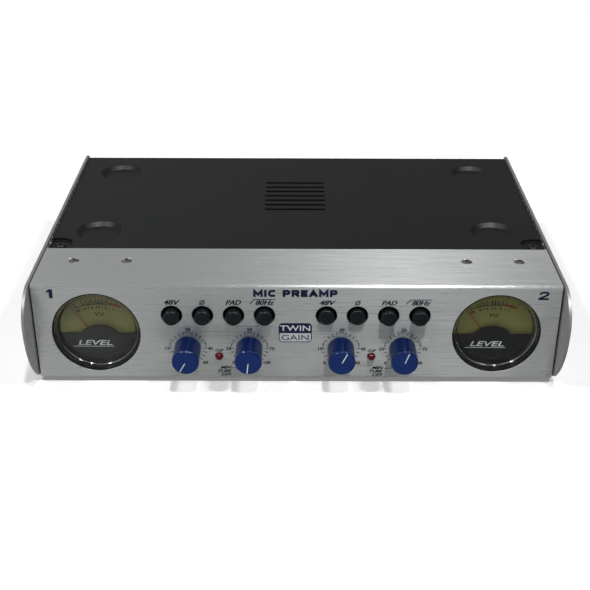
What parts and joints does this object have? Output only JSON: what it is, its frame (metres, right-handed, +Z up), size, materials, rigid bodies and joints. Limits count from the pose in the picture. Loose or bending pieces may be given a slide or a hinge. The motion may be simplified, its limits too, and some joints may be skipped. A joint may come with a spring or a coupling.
{
  "type": "microphone preamp",
  "caption": "Half-rack two-channel valve microphone preamp: brushed front with round level meters, blue knobs and push buttons, black vented cover, curved side panels.",
  "frame": {"origin": "centre of the bounding box in X and Y, on the ground under the feet", "axes": "+X right seen from the front, +Y back, +Z up"},
  "size_m": [0.216, 0.159, 0.0463],
  "materials": {
    "brushed_aluminium": "horizontally brushed, clear anodised",
    "side_aluminium": "fine satin anodised",
    "black_steel": "fine-textured black powder coat",
    "rubber": "matt moulded rubber",
    "bright_steel": "polished",
    "black_screw": "black zinc",
    "zinc_steel": "zinc plated",
    "black_plastic": "satin black moulding",
    "button_plastic": "semi-gloss black moulding",
    "knob_blue": "glossy deep blue",
    "red_lens": "clear red moulding, unlit",
    "meter_window": "clear acrylic",
    "dial_print": "printed olive-yellow card",
    "needle_red": "thin dull red lacquer",
    "circuit_board": "green solder mask",
    "brass": "nickel-free turned brass",
    "pin_silver": "silver plated",
    "capacitor_sleeve": "shrunk sleeve",
    "chip_resin": "moulded resin",
    "heat_sink": "raw extruded",
    "tube_glass": "thin blown glass",
    "tube_metal": "dull grey nickel",
    "socket_ceramic": "unglazed white",
    "cable_grey": "flat cable jacket"
  },
  "bodies": {
    "case": {"front_panel": "brushed_aluminium", "left_side_panel": "side_aluminium", "right_side_panel": "side_aluminium", "chassis": "black_steel", "rear_panel": "black_steel", "top_cover": "black_steel", "rubber_feet": "rubber", "cover_screws": "black_screw", "panel_screws": "bright_steel", "side_screws": "bright_steel", "side_spacers": "zinc_steel", "clinch_nuts": "zinc_steel", "control_bracket": "black_steel", "potentiometers": "zinc_steel", "potentiometer_nuts": "zinc_steel", "push_switches": "black_plastic", "clip_lights": "red_lens", "front_board": "circuit_board", "meter_housings": "black_plastic", "meter_lenses": "meter_window", "meter_dials": "dial_print", "meter_shrouds": "black_plastic", "meter_movements": "zinc_steel", "main_board": "circuit_board", "board_standoffs": "brass", "board_and_connector_screws": "black_screw", "tube_glass": "tube_glass", "tube_electrodes": "tube_metal", "tube_socket": "socket_ceramic", "capacitors": "capacitor_sleeve", "amplifier_chips": "chip_resin", "heat_sink": "heat_sink", "regulators": "chip_resin", "ribbon_cable": "cable_grey", "input_jacks": "black_plastic", "balanced_output_shells": "black_plastic", "balanced_output_pins": "pin_silver", "line_output_jacks": "black_plastic", "line_jack_nuts": "zinc_steel", "power_inlet": "black_plastic", "power_switch_housing": "black_plastic"},
    "gain_1_control": {"gain_1_knob": "knob_blue", "gain_1_shaft": "zinc_steel"},
    "drive_1_control": {"drive_1_knob": "knob_blue", "drive_1_shaft": "zinc_steel"},
    "gain_2_control": {"gain_2_knob": "knob_blue", "gain_2_shaft": "zinc_steel"},
    "drive_2_control": {"drive_2_knob": "knob_blue", "drive_2_shaft": "zinc_steel"},
    "button_1_phantom": {"button_1_phantom": "button_plastic"},
    "button_1_phase": {"button_1_phase": "button_plastic"},
    "button_1_pad": {"button_1_pad": "button_plastic"},
    "button_1_low_cut": {"button_1_low_cut": "button_plastic"},
    "button_2_phantom": {"button_2_phantom": "button_plastic"},
    "button_2_phase": {"button_2_phase": "button_plastic"},
    "button_2_pad": {"button_2_pad": "button_plastic"},
    "button_2_low_cut": {"button_2_low_cut": "button_plastic"},
    "needle_1": {"meter_1_needle": "needle_red"},
    "needle_2": {"meter_2_needle": "needle_red"},
    "rocker": {"power_rocker": "black_plastic"}
  },
  "joints": [
    {"name": "gain_1_turn", "type": "hinge", "parent": "case", "child": "gain_1_control", "pos_m": [-0.04445, -0.0671, 0.017], "axis": [0, 1, 0], "range_deg": [0, 300]},
    {"name": "drive_1_turn", "type": "hinge", "parent": "case", "child": "drive_1_control", "pos_m": [-0.01925, -0.0671, 0.017], "axis": [0, 1, 0], "range_deg": [0, 323]},
    {"name": "gain_2_turn", "type": "hinge", "parent": "case", "child": "gain_2_control", "pos_m": [0.0182, -0.0671, 0.017], "axis": [0, 1, 0], "range_deg": [-177, 123]},
    {"name": "drive_2_turn", "type": "hinge", "parent": "case", "child": "drive_2_control", "pos_m": [0.0434, -0.0671, 0.017], "axis": [0, 1, 0], "range_deg": [-193, 130]},
    {"name": "button_1_phantom_press", "type": "slide", "parent": "case", "child": "button_1_phantom", "axis": [0, 1, 0], "range_m": [0, 0.002], "stiffness_N_per_m": 250, "springref_m": -0.001},
    {"name": "button_1_phase_press", "type": "slide", "parent": "case", "child": "button_1_phase", "axis": [0, 1, 0], "range_m": [0, 0.002], "stiffness_N_per_m": 250, "springref_m": -0.001},
    {"name": "button_1_pad_press", "type": "slide", "parent": "case", "child": "button_1_pad", "axis": [0, 1, 0], "range_m": [0, 0.002], "stiffness_N_per_m": 250, "springref_m": -0.001},
    {"name": "button_1_low_cut_press", "type": "slide", "parent": "case", "child": "button_1_low_cut", "axis": [0, 1, 0], "range_m": [0, 0.002], "stiffness_N_per_m": 250, "springref_m": -0.001},
    {"name": "button_2_phantom_press", "type": "slide", "parent": "case", "child": "button_2_phantom", "axis": [0, 1, 0], "range_m": [-0.00145, 0.00055]},
    {"name": "button_2_phase_press", "type": "slide", "parent": "case", "child": "button_2_phase", "axis": [0, 1, 0], "range_m": [-0.00145, 0.00055]},
    {"name": "button_2_pad_press", "type": "slide", "parent": "case", "child": "button_2_pad", "axis": [0, 1, 0], "range_m": [0, 0.002], "stiffness_N_per_m": 250, "springref_m": -0.001},
    {"name": "button_2_low_cut_press", "type": "slide", "parent": "case", "child": "button_2_low_cut", "axis": [0, 1, 0], "range_m": [0, 0.002], "stiffness_N_per_m": 250, "springref_m": -0.001},
    {"name": "needle_1_swing", "type": "hinge", "parent": "case", "child": "needle_1", "pos_m": [-0.0814, -0.0581, 0.01455], "axis": [0, 1, 0], "range_deg": [0, 76], "stiffness_Nm_per_rad": 0.00002},
    {"name": "needle_2_swing", "type": "hinge", "parent": "case", "child": "needle_2", "pos_m": [0.0814, -0.0581, 0.01455], "axis": [0, 1, 0], "range_deg": [0, 76], "stiffness_Nm_per_rad": 0.00002},
    {"name": "rocker_tilt", "type": "hinge", "parent": "case", "child": "rocker", "pos_m": [-0.073, 0.0709, 0.023], "axis": [1, 0, 0], "range_deg": [-16, 0]}
  ]
}
